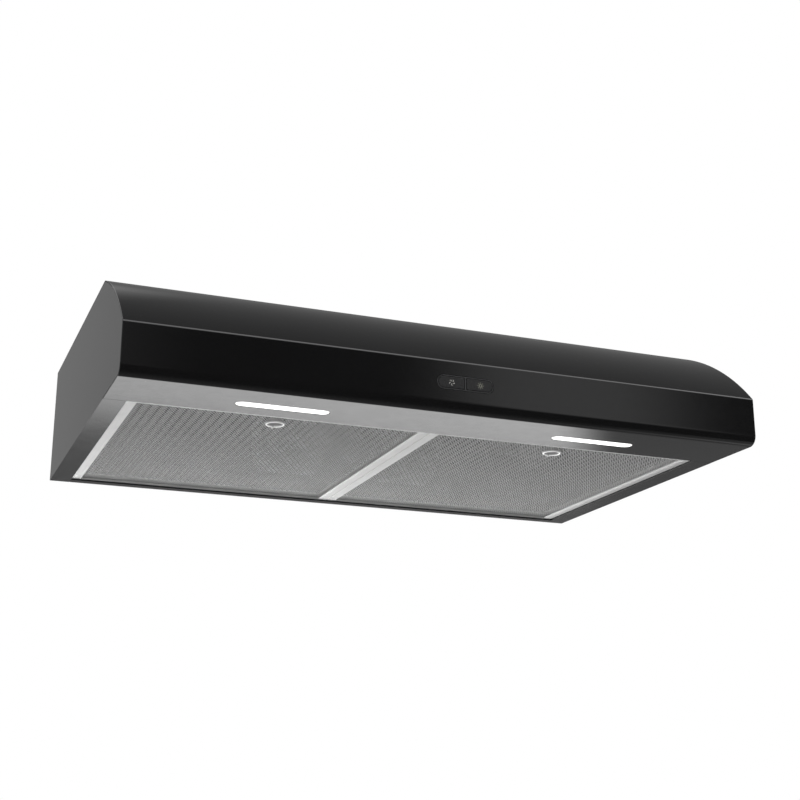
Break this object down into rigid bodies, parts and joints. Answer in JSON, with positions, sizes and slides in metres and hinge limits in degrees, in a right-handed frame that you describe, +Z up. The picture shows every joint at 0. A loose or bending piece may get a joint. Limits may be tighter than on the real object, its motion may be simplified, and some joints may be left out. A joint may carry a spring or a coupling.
{
  "type": "under cabinet range hood",
  "caption": "Black under cabinet range hood with a curved front, push-button panel, light bars, tilting grease filters, a centrifugal blower and a duct damper.",
  "frame": {"origin": "middle of the flat top, centred between the four mounting keyholes, where the cabinet's underside rests", "axes": "+X to the right of someone facing the hood, +Y towards the wall, +Z up"},
  "size_m": [0.759, 0.4943, 0.1893],
  "materials": {
    "black_paint": "semi-gloss black enamel",
    "galvanised_steel": "galvanised",
    "motor_steel": "satin",
    "wheel_plastic": "matt",
    "black_plastic": "satin",
    "lead_sleeve": "satin",
    "circuit_board": "satin",
    "light_lens": "frosted",
    "aluminium": "satin",
    "filter_mesh": "micro-mesh"
  },
  "bodies": {
    "hood": {"hood_shell": "black_paint", "side_panel_left": "black_paint", "side_panel_right": "black_paint", "rear_panel": "black_paint", "rear_knockout": "black_paint", "duct_collar": "galvanised_steel", "damper_pin": "galvanised_steel", "blower_plate": "galvanised_steel", "scroll_left": "galvanised_steel", "scroll_right": "galvanised_steel", "inlet_ring_left": "galvanised_steel", "inlet_ring_right": "galvanised_steel", "motor_cradle": "galvanised_steel", "capacitor_strap": "galvanised_steel", "wiring_box": "galvanised_steel", "wiring_box_cover": "galvanised_steel", "light_housing_left": "galvanised_steel", "light_housing_right": "galvanised_steel", "motor_body": "motor_steel", "control_bezel": "black_plastic", "control_housing": "black_plastic", "led_driver": "black_plastic", "run_capacitor": "black_plastic", "cable_bushing": "black_plastic", "switch_fan": "black_plastic", "switch_light": "black_plastic", "lead_motor": "lead_sleeve", "lead_supply": "lead_sleeve", "lead_control": "lead_sleeve", "lead_light_left": "lead_sleeve", "lead_light_right": "lead_sleeve", "control_board": "circuit_board", "led_board_left": "circuit_board", "led_board_right": "circuit_board", "light_lens_left": "light_lens", "light_lens_right": "light_lens", "light_guide_fan": "light_lens", "light_guide_light": "light_lens"},
    "blower_rotor": {"motor_shaft": "motor_steel", "blower_wheel_left": "wheel_plastic", "blower_wheel_right": "wheel_plastic"},
    "damper": {"damper_flap": "galvanised_steel"},
    "fan_button": {"button_fan": "black_plastic"},
    "light_button": {"button_light": "black_plastic"},
    "filter_left": {"filter_frame_left": "aluminium", "filter_face_mesh_left": "filter_mesh", "filter_core_mesh_left": "filter_mesh", "filter_back_mesh_left": "filter_mesh", "pull_cup_left": "aluminium", "leaf_spring_left": "galvanised_steel"},
    "ring_left": {"pull_ring_left": "aluminium"},
    "filter_right": {"filter_frame_right": "aluminium", "filter_face_mesh_right": "filter_mesh", "filter_core_mesh_right": "filter_mesh", "filter_back_mesh_right": "filter_mesh", "pull_cup_right": "aluminium", "leaf_spring_right": "galvanised_steel"},
    "ring_right": {"pull_ring_right": "aluminium"}
  },
  "joints": [
    {"name": "blower_spin", "type": "hinge", "parent": "hood", "child": "blower_rotor", "pos_m": [0, 0.08, -0.073], "axis": [1, 0, 0], "continuous": true},
    {"name": "damper_swing", "type": "hinge", "parent": "hood", "child": "damper", "pos_m": [0, 0.1435, 0.01], "axis": [-1, 0, 0], "range_deg": [0, 80]},
    {"name": "fan_button_press", "type": "slide", "parent": "hood", "child": "fan_button", "axis": [0, 1, 0], "range_m": [0, 0.001], "stiffness_N_per_m": 400, "springref_m": -0.002},
    {"name": "light_button_press", "type": "slide", "parent": "hood", "child": "light_button", "axis": [0, 1, 0], "range_m": [0, 0.001], "stiffness_N_per_m": 400, "springref_m": -0.002},
    {"name": "filter_left_tilt", "type": "hinge", "parent": "hood", "child": "filter_left", "pos_m": [-0.17695, 0.166, -0.1469], "axis": [1, 0, 0], "range_deg": [0, 35]},
    {"name": "ring_left_fold", "type": "hinge", "parent": "filter_left", "child": "ring_left", "pos_m": [-0.17695, -0.1664, -0.1455], "axis": [1, 0, 0], "range_deg": [0, 90]},
    {"name": "filter_right_tilt", "type": "hinge", "parent": "hood", "child": "filter_right", "pos_m": [0.17695, 0.166, -0.1469], "axis": [1, 0, 0], "range_deg": [0, 35]},
    {"name": "ring_right_fold", "type": "hinge", "parent": "filter_right", "child": "ring_right", "pos_m": [0.17695, -0.1664, -0.1455], "axis": [1, 0, 0], "range_deg": [0, 90]}
  ]
}
